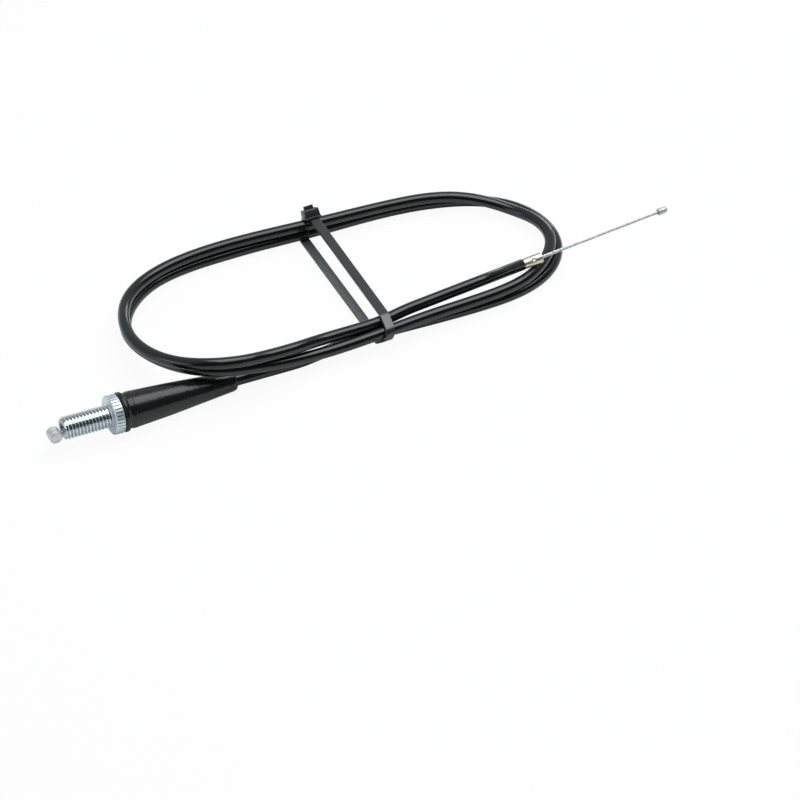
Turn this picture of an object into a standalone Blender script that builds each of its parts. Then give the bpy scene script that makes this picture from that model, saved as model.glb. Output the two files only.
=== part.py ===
"""A coiled throttle cable: a Bowden cable with a knurled screw fitting and rubber boot at the throttle
end, and a crimped ferrule, bare wire and barrel at the carburettor end. One cable tie holds the coil.

Sizes are in millimetres and become metres at MM. The cable lies on the plane z = 0. The screw fitting
points along -X and slightly up, because it lies on its collar and on the boot's side."""
import math

import bmesh
import bpy
import numpy as np
from mathutils import Matrix, Vector

MM = 0.001

# Conduit and wire, from the outside in
SHEATH_RADIUS = 2.6
SHEATH_WALL = 0.5
SPIRAL_WALL = 0.45
LINER_WALL = 0.25
WIRE_RADIUS = 0.7
NEST_GAP = 0.2
SEAT_GAP = 0.3
TUBE_RESOLUTION = 2

# Throttle end: where the boot's small end lies, and places along the axis from there to the mouth
BOOT_END = (-65.5, -38.56)
AXIS_TILT_DEG = 3.9
COLLAR_BACK = 55.3
COLLAR_WIDTH = 4.3
COLLAR_RADIUS = 8.5
COLLAR_CHAMFER = 0.4
THREAD_RADIUS = 4.95
THREAD_LENGTH = 21.0
THREAD_CHAMFER = 0.8
NECK_LENGTH = 0.7
NECK_STEP = 0.1
KNURL_RIBS = 45
KNURL_DEPTH = 0.35
KNURL_SLIT = 0.55
FITTING_BORE = 1.3
MOUTH_RADIUS = 2.9
MOUTH_DEPTH = 2.0
STEM_RADIUS = 5.5
STEM_LENGTH = 9.1
STEM_LIP = 1.2
STEM_CHAMFER = 0.4

# Cap on the conduit's end, held in the stem
CAP_WALL = 0.45
CAP_SLEEVE_LENGTH = 14.4
CAP_FLANGE_THICKNESS = 1.8
CAP_FLANGE_RIM = 0.7
CAP_FACE = 1.4
CAP_PLAY = 0.4

# Boot
BOOT_BIG_RADIUS = 7.9
BOOT_MIDDLE_RADIUS = 6.85
BOOT_MIDDLE = 32.0
BOOT_SMALL_RADIUS = 4.6
BOOT_START = 1.9
BOOT_BEAD_RADIUS = 8.25
BOOT_GROOVE_RADIUS = 7.6
BOOT_SHOULDER = 5.8
BOOT_NECK_LENGTH = 12.0
BOOT_SOCKET_LENGTH = 17.0
BOOT_ROUND = 4.0

# Nipple and wire at the throttle end
NIPPLE_RADIUS = 2.75
NIPPLE_LENGTH = 5.5
NIPPLE_CHAMFER = 0.35
NIPPLE_STANDOFF = 3.9
NIPPLE_DROOP = (1.0, -1.25)
NIPPLE_SOCKET_DEPTH = 3.4
THROTTLE_WIRE_TAIL = 10.0
WIRE_BEND_STEPS = 5

# Carburettor end: a straight line a step beyond the third lap, with places along it from its start
LINE_STEP = (16.46, 2.24, -0.15)
LINE_DIRECTION = (70.15, 0.47, 3.5)
FERRULE_START = 56.4
FERRULE_LENGTH = 9.4
FERRULE_WALL = 0.3
FERRULE_FACE = 1.6
FERRULE_CHAMFER = 0.4
BARREL_END = 132.5
BARREL_LENGTH = 4.6
BARREL_RADIUS = 1.5
BARREL_COLLAR_RADIUS = 1.65
BARREL_COLLAR_LENGTH = 1.2
BARREL_FACE = 1.0
WIRE_TRAVEL = 55.0
WIRE_TAIL = 1.2

# Coil: stations of the first lap, as x, y, z of the cable's middle. The first two lie on the boot's axis.
BOOT_STATION = 11.0
FLOOR_STATION = 26.2
LAP_STATIONS = [
    (-23.6, -37.8, 3.0), (4.0, -39.3, 4.4), (25.4, -39.6, 2.9), (53.3, -41.6, 2.75), (75.4, -40.3, 2.6),
    (92.6, -33.2, 2.6), (104.3, -19.8, 2.6), (107.8, -2.8, 2.6), (103.2, 13.0, 2.6), (93.2, 24.4, 2.6),
    (77.4, 33.0, 2.6), (49.2, 39.5, 2.75), (8.0, 40.3, 4.4), (-17.5, 44.3, 2.9), (-48.4, 45.3, 2.7),
    (-70.1, 40.8, 3.2), (-85.7, 29.5, 4.2), (-95.0, 13.4, 6.1), (-95.9, -5.3, 8.9), (-90.0, -24.0, 12.1),
    (-79.4, -38.1, 14.95), (-67.4, -43.2, 14.5)]
# The second lap lies on the first: at each station its direction from the first lap, in degrees, where
# 0 is level towards the coil's middle and 90 is straight up. It starts two stations before the list.
SECOND_LAP_LEAN = [122, 127, 140, 139, 121, 106, 91, 64, 54, 38, 24, 36, 58, 66, 78, 85, 87, 86, 96, 96, 117, 123,
                   113, 106]
# It rides higher over the boot, which has to pass below it
SECOND_LAP_RISE = [8.5, 7.2, 5.9]
# The third lap lies on the second, as far as the tie
THIRD_LAP_LEAN = [95, 78, 48, 18]
LAP_GAP = 0.5
BEND_ANGLE_DEG = 14.0

# Tie
TIE_WIDTH = 3.7
TIE_THICKNESS = 1.1
TIE_CLEARANCE = 0.65
TIE_MIDDLE = 4.7
TIE_SHEAR = 0.25
TIE_TURN = 0.045
TIE_BOTTOM_INDEX = 3
TIE_TOP_INDEX = 14
TIE_HEAD_LENGTH = 7.0
TIE_HEAD_WIDTH = 6.0
TIE_HEAD_HEIGHT = 4.6
TIE_HEAD_BEVEL = 0.5
TIE_TAIL_HEIGHT = 3.2
TIE_TAIL_WIDTH = 3.5

TURNED_STEPS = 32
SMALL_TURNED_STEPS = 24

# Sizes worked out from the ones above
SHEATH_BORE = SHEATH_RADIUS - SHEATH_WALL
SPIRAL_RADIUS = SHEATH_BORE - NEST_GAP
LINER_RADIUS = SPIRAL_RADIUS - SPIRAL_WALL - NEST_GAP
AXIS_TILT = math.radians(AXIS_TILT_DEG)
AXIS_HEIGHT = COLLAR_RADIUS * math.cos(AXIS_TILT) - COLLAR_BACK * math.sin(AXIS_TILT)
COLLAR_FRONT = COLLAR_BACK + COLLAR_WIDTH
MOUTH = COLLAR_FRONT + THREAD_LENGTH
STEM_END = COLLAR_BACK - STEM_LENGTH
SOCKET_START = STEM_END + STEM_LIP
CAP_BACK = SOCKET_START + CAP_PLAY
CAP_FRONT = CAP_BACK + CAP_FLANGE_THICKNESS
SOCKET_END = CAP_FRONT + CAP_PLAY
CAP_BORE = SHEATH_RADIUS + NEST_GAP
CAP_RADIUS = CAP_BORE + CAP_WALL
CAP_FLANGE_RADIUS = CAP_RADIUS + CAP_FLANGE_RIM
FERRULE_BORE = SPIRAL_RADIUS + NEST_GAP
FERRULE_RADIUS = FERRULE_BORE + FERRULE_WALL
LAP_SPACING = 2.0 * SHEATH_RADIUS + LAP_GAP
CONDUIT_START = CAP_FRONT - CAP_FACE - SEAT_GAP
WIRE_HOLE = WIRE_RADIUS + SEAT_GAP
NIPPLE_CENTRE = MOUTH + NIPPLE_STANDOFF
FERRULE_END = FERRULE_START + FERRULE_LENGTH
BARREL_START = BARREL_END - BARREL_LENGTH


def material(name, colour, roughness, metallic):
    mat = bpy.data.materials.new(name)
    mat.use_nodes = True
    shader = mat.node_tree.nodes["Principled BSDF"]
    shader.inputs["Base Color"].default_value = (*colour, 1.0)
    shader.inputs["Roughness"].default_value = roughness
    shader.inputs["Metallic"].default_value = metallic
    mat.diffuse_color = (*colour, 1.0)
    return mat


def link(obj, mat, collection, parent=None):
    collection.objects.link(obj)
    obj.data.materials.clear()
    obj.data.materials.append(mat)
    obj.parent = parent
    return obj


def unit(vector):
    vector = np.array(vector, float)
    return vector / np.linalg.norm(vector)


THROTTLE_DIRECTION = unit((-math.cos(AXIS_TILT), 0.0, math.sin(AXIS_TILT)))
CARB_DIRECTION = unit(LINE_DIRECTION)


def on_throttle_axis(along):
    """The point at this distance along the throttle axis, from the boot's small end to the mouth."""
    return np.array((*BOOT_END, AXIS_HEIGHT)) + along * THROTTLE_DIRECTION


def on_drooped_wire(along):
    """The same for the wire, which bends off the axis in the mouth, under the weight of the nipple."""
    share = max(0.0, min(1.0, (along - MOUTH + MOUTH_DEPTH) / (MOUTH_DEPTH + NIPPLE_STANDOFF - NIPPLE_RADIUS)))
    share = share * share * (3.0 - 2.0 * share)
    level = np.array((0.0, -1.0, 0.0))
    up = np.cross(THROTTLE_DIRECTION, level)
    return on_throttle_axis(along) + share * (NIPPLE_DROOP[0] * level + NIPPLE_DROOP[1] * up)


def on_carb_line(along):
    """The point at this distance along the carburettor line, which starts a step beyond the third lap."""
    third_lap = coil_laps()[2]
    return third_lap[-1] + np.array(LINE_STEP) + along * CARB_DIRECTION


# Turned pieces

def turned(name, profile, mat, collection, axis, steps=TURNED_STEPS, closed=True):
    """A profile of (radius, distance along the axis), outer side first and front to back, spun round."""
    mesh = bpy.data.meshes.new(name)
    points = [(radius * MM, 0.0, along * MM) for radius, along in profile]
    edges = [(i, i + 1) for i in range(len(points) - 1)]
    if closed:
        edges.append((len(points) - 1, 0))
    mesh.from_pydata(points, edges, [])
    obj = link(bpy.data.objects.new(name, mesh), mat, collection, axis)
    screw = obj.modifiers.new("turn", "SCREW")
    screw.axis = "Z"
    screw.steps = steps
    screw.render_steps = steps
    screw.use_merge_vertices = True
    screw.merge_threshold = 0.00001
    screw.use_smooth_shade = True
    return obj


def axis_empty(name, origin, direction, collection):
    """An empty whose local Z runs along the axis."""
    empty = bpy.data.objects.new(name, None)
    empty.empty_display_size = 0.01
    empty.location = Vector(origin) * MM
    empty.rotation_mode = "QUATERNION"
    empty.rotation_quaternion = Vector(direction).to_track_quat("Z", "Y")
    collection.objects.link(empty)
    return empty


def fitting_profile():
    """Threaded sleeve, knurled collar and the stem that holds the conduit's cap."""
    neck_radius = THREAD_RADIUS + NECK_STEP
    return [
        (THREAD_RADIUS - THREAD_CHAMFER, MOUTH), (THREAD_RADIUS, MOUTH - THREAD_CHAMFER),
        (THREAD_RADIUS, COLLAR_FRONT + NECK_LENGTH), (neck_radius, COLLAR_FRONT + NECK_LENGTH),
        (neck_radius, COLLAR_FRONT), (COLLAR_RADIUS - COLLAR_CHAMFER, COLLAR_FRONT),
        (COLLAR_RADIUS, COLLAR_FRONT - COLLAR_CHAMFER), (COLLAR_RADIUS, COLLAR_BACK + COLLAR_CHAMFER),
        (COLLAR_RADIUS - COLLAR_CHAMFER, COLLAR_BACK), (STEM_RADIUS, COLLAR_BACK),
        (STEM_RADIUS, STEM_END + STEM_CHAMFER), (STEM_RADIUS - STEM_CHAMFER, STEM_END),
        (CAP_RADIUS + SEAT_GAP, STEM_END), (CAP_RADIUS + SEAT_GAP, SOCKET_START),
        (CAP_FLANGE_RADIUS + SEAT_GAP, SOCKET_START), (CAP_FLANGE_RADIUS + SEAT_GAP, SOCKET_END),
        (FITTING_BORE, SOCKET_END), (FITTING_BORE, MOUTH - MOUTH_DEPTH), (MOUTH_RADIUS, MOUTH)]


def knurl(fitting, collection, axis):
    """Straight V slits all round the collar, which leave ribs between them."""
    tip = COLLAR_RADIUS - KNURL_DEPTH
    mouth = COLLAR_RADIUS + SEAT_GAP
    half = KNURL_SLIT / 2.0 * (mouth - tip) / KNURL_DEPTH
    corners = []
    faces = []
    for k in range(KNURL_RIBS):
        turn = Matrix.Rotation(2.0 * math.pi * k / KNURL_RIBS, 4, "Z")
        first = len(corners)
        for height in (COLLAR_BACK - SEAT_GAP, COLLAR_FRONT + SEAT_GAP):
            corners += [turn @ Vector(p) * MM for p in ((tip, 0.0, height), (mouth, -half, height),
                                                        (mouth, half, height))]
        faces += [[first + i for i in face] for face in ((0, 2, 1), (3, 4, 5), (0, 1, 4, 3), (1, 2, 5, 4),
                                                         (2, 0, 3, 5))]
    mesh = bpy.data.meshes.new("knurl_cutter")
    mesh.from_pydata(corners, [], faces)
    cutter = bpy.data.objects.new("knurl_cutter", mesh)
    collection.objects.link(cutter)
    cutter.parent = axis
    cutter.hide_render = True
    cutter.display_type = "WIRE"
    cut = fitting.modifiers.new("knurl", "BOOLEAN")
    cut.operation = "DIFFERENCE"
    cut.object = cutter


def cap_profile():
    return [
        (CAP_FLANGE_RADIUS, CAP_FRONT), (CAP_FLANGE_RADIUS, CAP_BACK), (CAP_RADIUS, CAP_BACK),
        (CAP_RADIUS, CAP_BACK - CAP_SLEEVE_LENGTH), (CAP_BORE, CAP_BACK - CAP_SLEEVE_LENGTH),
        (CAP_BORE, CAP_FRONT - CAP_FACE), (WIRE_HOLE, CAP_FRONT - CAP_FACE), (WIRE_HOLE, CAP_FRONT)]


def boot_profile():
    """Bead and groove against the collar, a straight taper, and a rounded small end round the sheath."""
    front = COLLAR_BACK - SEAT_GAP
    socket = STEM_RADIUS + SEAT_GAP
    neck = SHEATH_RADIUS + SEAT_GAP
    bead = BOOT_BEAD_RADIUS - BOOT_GROOVE_RADIUS
    round_points = []
    for turn in (20.0, 45.0, 70.0, 90.0):
        angle = math.radians(turn)
        drop = (BOOT_SMALL_RADIUS - neck) * 0.75
        round_points.append((BOOT_SMALL_RADIUS - drop * (1.0 - math.cos(angle)),
                             BOOT_START + BOOT_ROUND * (1.0 - math.sin(angle)) * 0.6))
    return [
        (BOOT_BEAD_RADIUS - 1.6 * bead, front), (BOOT_BEAD_RADIUS - 0.4 * bead, front - 0.5 * bead),
        (BOOT_BEAD_RADIUS, front - 1.6 * bead), (BOOT_BEAD_RADIUS - 0.4 * bead, front - 2.8 * bead),
        (BOOT_GROOVE_RADIUS, front - 3.4 * bead), (BOOT_GROOVE_RADIUS, front - 4.1 * bead),
        (BOOT_BIG_RADIUS, front - 5.2 * bead), (BOOT_BIG_RADIUS, front - BOOT_SHOULDER),
        (BOOT_MIDDLE_RADIUS, BOOT_MIDDLE), (BOOT_SMALL_RADIUS, BOOT_START + BOOT_ROUND), *round_points,
        (neck, BOOT_START), (neck, BOOT_START + BOOT_NECK_LENGTH),
        (socket, front - BOOT_SOCKET_LENGTH), (socket, front)]


def ferrule_profile():
    return [
        (FERRULE_RADIUS - FERRULE_CHAMFER, FERRULE_END), (FERRULE_RADIUS, FERRULE_END - FERRULE_CHAMFER),
        (FERRULE_RADIUS, FERRULE_START), (FERRULE_BORE, FERRULE_START), (FERRULE_BORE, FERRULE_END - FERRULE_FACE),
        (WIRE_HOLE, FERRULE_END - FERRULE_FACE), (WIRE_HOLE, FERRULE_END)]


def barrel_profile():
    """Barrel with a domed front end, and a wider collar where the wire goes in."""
    dome = []
    for turn in (0.0, 30.0, 60.0, 90.0):
        angle = math.radians(turn)
        dome.append((BARREL_RADIUS * math.sin(angle), BARREL_END - BARREL_RADIUS * (1.0 - math.cos(angle)) * 0.5))
    return [
        *dome, (BARREL_RADIUS, BARREL_START + BARREL_COLLAR_LENGTH),
        (BARREL_COLLAR_RADIUS, BARREL_START + BARREL_COLLAR_LENGTH), (BARREL_COLLAR_RADIUS, BARREL_START),
        (WIRE_HOLE, BARREL_START), (WIRE_HOLE, BARREL_END - BARREL_FACE), (0.0, BARREL_END - BARREL_FACE)]


def add_nipple(mat, collection, cutters, axis):
    """Cast barrel that lies across the wire, with a socket for the wire."""
    bpy.ops.mesh.primitive_cylinder_add(vertices=SMALL_TURNED_STEPS, radius=NIPPLE_RADIUS * MM,
                                        depth=NIPPLE_LENGTH * MM, location=(0.0, 0.0, 0.0))
    nipple = bpy.context.active_object
    nipple.name = "throttle_nipple"
    nipple.data.transform(Matrix.Rotation(math.radians(90.0), 4, "Y"))
    for old in nipple.users_collection:
        old.objects.unlink(nipple)
    link(nipple, mat, collection, axis)
    nipple.location = Vector((*NIPPLE_DROOP, NIPPLE_CENTRE)) * MM
    bevel = nipple.modifiers.new("rim", "BEVEL")
    bevel.width = NIPPLE_CHAMFER * MM
    bevel.segments = 1
    bevel.angle_limit = math.radians(60.0)
    depth = NIPPLE_SOCKET_DEPTH
    bpy.ops.mesh.primitive_cylinder_add(vertices=12, radius=WIRE_HOLE * MM, depth=depth * MM)
    cutter = bpy.context.active_object
    cutter.name = "nipple_socket_cutter"
    for old in cutter.users_collection:
        old.objects.unlink(cutter)
    cutters.objects.link(cutter)
    cutter.parent = axis
    cutter.location = Vector((*NIPPLE_DROOP, NIPPLE_CENTRE - NIPPLE_RADIUS - 0.5 + depth / 2.0)) * MM
    cutter.hide_render = True
    cutter.display_type = "WIRE"
    cut = nipple.modifiers.new("socket", "BOOLEAN")
    cut.operation = "DIFFERENCE"
    cut.object = cutter
    return nipple


# The cable's route

def lean_on(base, inward, lean, rise):
    """Each point's neighbour at the distance rise, at the angle lean from level inward to straight up."""
    angle = np.radians(np.array(lean, float))[:, None]
    rise = np.array(rise, float)[:, None]
    return np.hstack([base[:, :2] + rise * np.cos(angle) * inward, base[:, 2:] + rise * np.sin(angle)])


def coil_laps():
    """The stations of the three laps, each a list of points."""
    first = np.array([on_throttle_axis(-BOOT_STATION + 1.0), on_throttle_axis(-FLOOR_STATION), *LAP_STATIONS])
    along = np.roll(first[:, :2], -1, axis=0) - np.roll(first[:, :2], 1, axis=0)
    along /= np.linalg.norm(along, axis=1)[:, None]
    inward = np.stack([-along[:, 1], along[:, 0]], axis=1)
    rise = [LAP_SPACING] * len(first)
    rise[:len(SECOND_LAP_RISE)] = SECOND_LAP_RISE
    second = lean_on(first, inward, SECOND_LAP_LEAN, rise)
    count = len(THIRD_LAP_LEAN)
    third = lean_on(second[:count], inward[:count], THIRD_LAP_LEAN, [LAP_SPACING] * count)
    return first, second, third


def spline_slopes(points, start, end):
    """Slopes of the smooth curve through the points, with the given directions at its two ends."""
    steps = np.linalg.norm(np.diff(points, axis=0), axis=1)
    count = len(points)
    matrix = np.zeros((count, count))
    right = np.zeros((count, 3))
    matrix[0, 0] = 1.0
    matrix[-1, -1] = 1.0
    right[0] = start
    right[-1] = end
    for i in range(1, count - 1):
        before, after = steps[i - 1], steps[i]
        matrix[i, i - 1] = after
        matrix[i, i] = 2.0 * (before + after)
        matrix[i, i + 1] = before
        right[i] = 3.0 * (after * (points[i] - points[i - 1]) / before + before * (points[i + 1] - points[i]) / after)
    return np.linalg.solve(matrix, right), steps


def curve_point(points, slopes, steps, i, t):
    """The point at the share t of the way from point i to the next one."""
    h = steps[i]
    return ((1 + 2 * t) * (1 - t) ** 2 * points[i] + t * (1 - t) ** 2 * h * slopes[i]
            + t * t * (3 - 2 * t) * points[i + 1] - t * t * (1 - t) * h * slopes[i + 1])


def coil_path():
    """The cable's middle line from the end of the boot's axis to the start of the carburettor line."""
    first, second, third = coil_laps()
    points = np.vstack([first[1:], second, third, [on_carb_line(0.0)]])
    slopes, steps = spline_slopes(points, -THROTTLE_DIRECTION, CARB_DIRECTION)
    path = []
    for i in range(len(points) - 1):
        cosine = float(np.dot(unit(slopes[i]), unit(slopes[i + 1])))
        turn = math.degrees(math.acos(max(-1.0, min(1.0, cosine))))
        pieces = 2 if turn > BEND_ANGLE_DEG else 1
        path += [curve_point(points, slopes, steps, i, k / pieces) for k in range(pieces)]
    path.append(points[-1])
    return path


def conduit_path(throttle_place, carb_place):
    """The coil's path with a straight end on the throttle axis and one on the carburettor line."""
    return [on_throttle_axis(throttle_place), *coil_path(), on_carb_line(carb_place)]


def tube_curve(name, path, radius, caps):
    data = bpy.data.curves.new(name, "CURVE")
    data.dimensions = "3D"
    data.twist_mode = "Z_UP"
    data.bevel_depth = radius * MM
    data.bevel_resolution = TUBE_RESOLUTION
    data.use_fill_caps = caps
    spline = data.splines.new("POLY")
    spline.points.add(len(path) - 1)
    for point, place in zip(spline.points, path):
        point.co = (*(np.array(place) * MM), 1.0)
    return bpy.data.objects.new(name, data)


def solid_wire(name, path, radius, mat, collection):
    return link(tube_curve(name, path, radius, True), mat, collection)


def hollow_tube(name, path, radius, wall, mat, collection):
    """An open tube surface along the path with its wall to the inside."""
    obj = link(tube_curve(name, path, radius, False), mat, collection)
    shell = obj.modifiers.new("wall", "SOLIDIFY")
    shell.thickness = wall * MM
    shell.offset = -1.0
    shell.use_even_offset = True
    return obj


# Tie

def outline_round(circles, extra, count=16):
    """The convex outline round circles of one radius, grown by extra, as (y, z) points."""
    points = []
    for y, z in circles:
        for k in range(count):
            angle = 2.0 * math.pi * k / count
            points.append((y + (SHEATH_RADIUS + extra) * math.cos(angle), z + (SHEATH_RADIUS + extra) * math.sin(angle)))
    points.sort()

    def half(row):
        hull = []
        for p in row:
            while len(hull) > 1 and ((hull[-1][0] - hull[-2][0]) * (p[1] - hull[-2][1])
                                     - (hull[-1][1] - hull[-2][1]) * (p[0] - hull[-2][0])) <= 1e-9:
                hull.pop()
            hull.append(p)
        return hull[:-1]
    return half(points) + half(points[::-1])


def tie_circles():
    first, second, third = coil_laps()
    bottom = [lap[TIE_BOTTOM_INDEX][1:] for lap in (first, second, third)]
    top = [lap[TIE_TOP_INDEX][1:] for lap in (first, second)]
    return [tuple(c) for c in bottom + top]


def add_tie(mat, collection, cutters):
    """Strap loop round both sides of the coil, with its head on the far side's strands."""
    circles = tie_circles()
    data = bpy.data.curves.new("coil_tie_outline", "CURVE")
    data.dimensions = "2D"
    data.fill_mode = "BOTH"
    data.extrude = TIE_WIDTH / 2.0 * MM
    for extra in (TIE_CLEARANCE + TIE_THICKNESS, TIE_CLEARANCE):
        outline = outline_round(circles, extra)
        spline = data.splines.new("POLY")
        spline.points.add(len(outline) - 1)
        for point, (y, z) in zip(spline.points, outline):
            point.co = (y * MM, z * MM, 0.0, 1.0)
        spline.use_cyclic_u = True
    guide = bpy.data.objects.new("coil_tie_outline", data)
    cutters.objects.link(guide)
    evaluated = guide.evaluated_get(bpy.context.evaluated_depsgraph_get())
    mesh = bpy.data.meshes.new_from_object(evaluated)
    bpy.data.objects.remove(guide)
    mesh.name = "coil_tie"
    shape = bmesh.new()
    shape.from_mesh(mesh)
    bmesh.ops.remove_doubles(shape, verts=shape.verts, dist=0.00001)
    stand_up = Matrix(((0, 0, 1, TIE_MIDDLE * MM), (1, 0, 0, 0), (0, 1, 0, 0), (0, 0, 0, 1)))
    shape.transform(stand_up)
    lean = Matrix(((1, TIE_TURN, TIE_SHEAR, -TIE_SHEAR * LAP_SPACING * MM), (0, 1, 0, 0), (0, 0, 1, 0), (0, 0, 0, 1)))
    shape.transform(lean)
    bmesh.ops.recalc_face_normals(shape, faces=shape.faces)
    shape.to_mesh(mesh)
    shape.free()
    tie = link(bpy.data.objects.new("coil_tie", mesh), mat, collection)
    top_y, top_z = circles[-1]
    strap_top = top_z + SHEATH_RADIUS + TIE_CLEARANCE
    head_x = TIE_MIDDLE + TIE_TURN * top_y + TIE_SHEAR * (strap_top - LAP_SPACING)
    blocks = [
        ("tie_head_block", (TIE_HEAD_WIDTH, TIE_HEAD_LENGTH, TIE_HEAD_HEIGHT), strap_top + TIE_HEAD_HEIGHT / 2.0 + 0.1),
        ("tie_tail_block", (TIE_TAIL_WIDTH, TIE_THICKNESS, TIE_TAIL_HEIGHT),
         strap_top + TIE_HEAD_HEIGHT + TIE_TAIL_HEIGHT / 2.0 - 0.6)]
    for name, (width, length, height), middle in blocks:
        bpy.ops.mesh.primitive_cube_add(size=1.0)
        block = bpy.context.active_object
        block.name = name
        block.data.transform(Matrix.Diagonal((width * MM, length * MM, height * MM, 1.0)))
        for old in block.users_collection:
            old.objects.unlink(block)
        cutters.objects.link(block)
        block.location = (head_x * MM, top_y * MM, middle * MM)
        block.hide_render = True
        block.display_type = "WIRE"
        bevel = block.modifiers.new("edges", "BEVEL")
        bevel.width = min(TIE_HEAD_BEVEL, TIE_THICKNESS / 3.0) * MM if name == "tie_tail_block" else TIE_HEAD_BEVEL * MM
        bevel.segments = 1
        join = tie.modifiers.new(name, "BOOLEAN")
        join.operation = "UNION"
        join.object = block
    return tie


def main():
    for old in list(bpy.data.objects):
        bpy.data.objects.remove(old)
    scene = bpy.context.scene
    parts = bpy.data.collections.new("throttle_cable")
    cutters = bpy.data.collections.new("cutters")
    scene.collection.children.link(parts)
    scene.collection.children.link(cutters)

    zinc = material("bright_zinc", (0.62, 0.66, 0.68), 0.28, 1.0)
    steel = material("dull_steel", (0.42, 0.42, 0.41), 0.45, 1.0)
    nickel = material("warm_nickel", (0.52, 0.49, 0.44), 0.35, 1.0)
    cast = material("cast_zinc", (0.46, 0.47, 0.48), 0.5, 1.0)
    rubber = material("black_rubber", (0.02, 0.02, 0.021), 0.5, 0.0)
    jacket = material("black_vinyl", (0.012, 0.012, 0.013), 0.32, 0.0)
    liner = material("white_liner", (0.75, 0.74, 0.7), 0.5, 0.0)
    nylon = material("charcoal_nylon", (0.03, 0.03, 0.032), 0.55, 0.0)

    throttle_axis = axis_empty("throttle_axis", on_throttle_axis(0.0), THROTTLE_DIRECTION, parts)
    carb_axis = axis_empty("carb_axis", on_carb_line(0.0), CARB_DIRECTION, parts)

    fitting = turned("screw_fitting", fitting_profile(), zinc, parts, throttle_axis)
    knurl(fitting, cutters, throttle_axis)
    turned("conduit_end_cap", cap_profile(), steel, parts, throttle_axis, SMALL_TURNED_STEPS)
    turned("rubber_boot", boot_profile(), rubber, parts, throttle_axis)
    add_nipple(cast, parts, cutters, throttle_axis)
    nipple_bottom = NIPPLE_CENTRE - NIPPLE_RADIUS + NIPPLE_SOCKET_DEPTH - 0.5
    bend_end = MOUTH + NIPPLE_STANDOFF - NIPPLE_RADIUS
    bend = [bend_end + k * (MOUTH - MOUTH_DEPTH - bend_end) / WIRE_BEND_STEPS for k in range(WIRE_BEND_STEPS + 1)]
    places = [nipple_bottom - SEAT_GAP, *bend, THROTTLE_WIRE_TAIL]
    solid_wire("throttle_wire", [on_drooped_wire(along) for along in places], WIRE_RADIUS, steel, parts)

    turned("carb_ferrule", ferrule_profile(), nickel, parts, carb_axis, SMALL_TURNED_STEPS)
    turned("carb_barrel", barrel_profile(), cast, parts, carb_axis, SMALL_TURNED_STEPS, closed=False)
    wire_tail = FERRULE_START + WIRE_TAIL
    solid_wire("carb_wire", [on_carb_line(wire_tail), on_carb_line(BARREL_END - BARREL_FACE - SEAT_GAP)],
               WIRE_RADIUS, steel, parts)

    sheath_path = conduit_path(CONDUIT_START, FERRULE_START - SEAT_GAP)
    inner_path = conduit_path(CONDUIT_START, FERRULE_END - FERRULE_FACE - SEAT_GAP)
    wire_path = conduit_path(THROTTLE_WIRE_TAIL - SEAT_GAP, wire_tail - WIRE_TRAVEL - SEAT_GAP)
    hollow_tube("outer_sheath", sheath_path, SHEATH_RADIUS, SHEATH_WALL, jacket, parts)
    hollow_tube("conduit_spiral", inner_path, SPIRAL_RADIUS, SPIRAL_WALL, steel, parts)
    hollow_tube("conduit_liner", inner_path, LINER_RADIUS, LINER_WALL, liner, parts)
    solid_wire("inner_wire", wire_path, WIRE_RADIUS, steel, parts)

    add_tie(nylon, parts, cutters)


main()
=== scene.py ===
"""Looks of a coiled throttle cable: the jacket of the conduit, a knurled screw fitting with its thread,
a rubber boot, a cast nipple, stranded wires, a crimped ferrule, a barrel and the cable tie round the coil.

Lengths are in millimetres and become metres at MM. The places repeat those of the part."""
import math

import bmesh
import bpy
import numpy as np
from mathutils import Matrix, Vector


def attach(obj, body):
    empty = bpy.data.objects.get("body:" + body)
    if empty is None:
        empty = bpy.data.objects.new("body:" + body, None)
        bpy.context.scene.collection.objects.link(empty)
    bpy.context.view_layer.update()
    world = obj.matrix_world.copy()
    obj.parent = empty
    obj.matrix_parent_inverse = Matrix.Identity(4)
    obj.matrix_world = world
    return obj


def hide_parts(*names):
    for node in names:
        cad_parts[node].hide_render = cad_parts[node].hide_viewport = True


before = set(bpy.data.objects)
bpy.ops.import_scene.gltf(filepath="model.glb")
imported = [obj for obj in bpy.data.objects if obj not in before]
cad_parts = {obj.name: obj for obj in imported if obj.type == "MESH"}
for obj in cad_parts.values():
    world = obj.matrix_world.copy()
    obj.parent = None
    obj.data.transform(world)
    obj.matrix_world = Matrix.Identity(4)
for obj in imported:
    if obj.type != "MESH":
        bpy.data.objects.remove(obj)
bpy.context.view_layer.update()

MM = 0.001
FULL_TURN = 2.0 * math.pi
MERGE_DISTANCE = 0.000002

# Conduit and wire
SHEATH_RADIUS = 2.6
SHEATH_WALL = 0.5
SHEATH_ROUNDING = 8
WIRE_RADIUS = 0.7
STRANDS = 12
STRAND_SIDES = 8
STRAND_RADIUS = 0.135
STRAND_LAY = 13.0
STRAND_TILT = math.radians(8.0)
STEPS_PER_LAY = 30
CORE_LEVELS = 60
CORE_SIDES = 20

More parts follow.
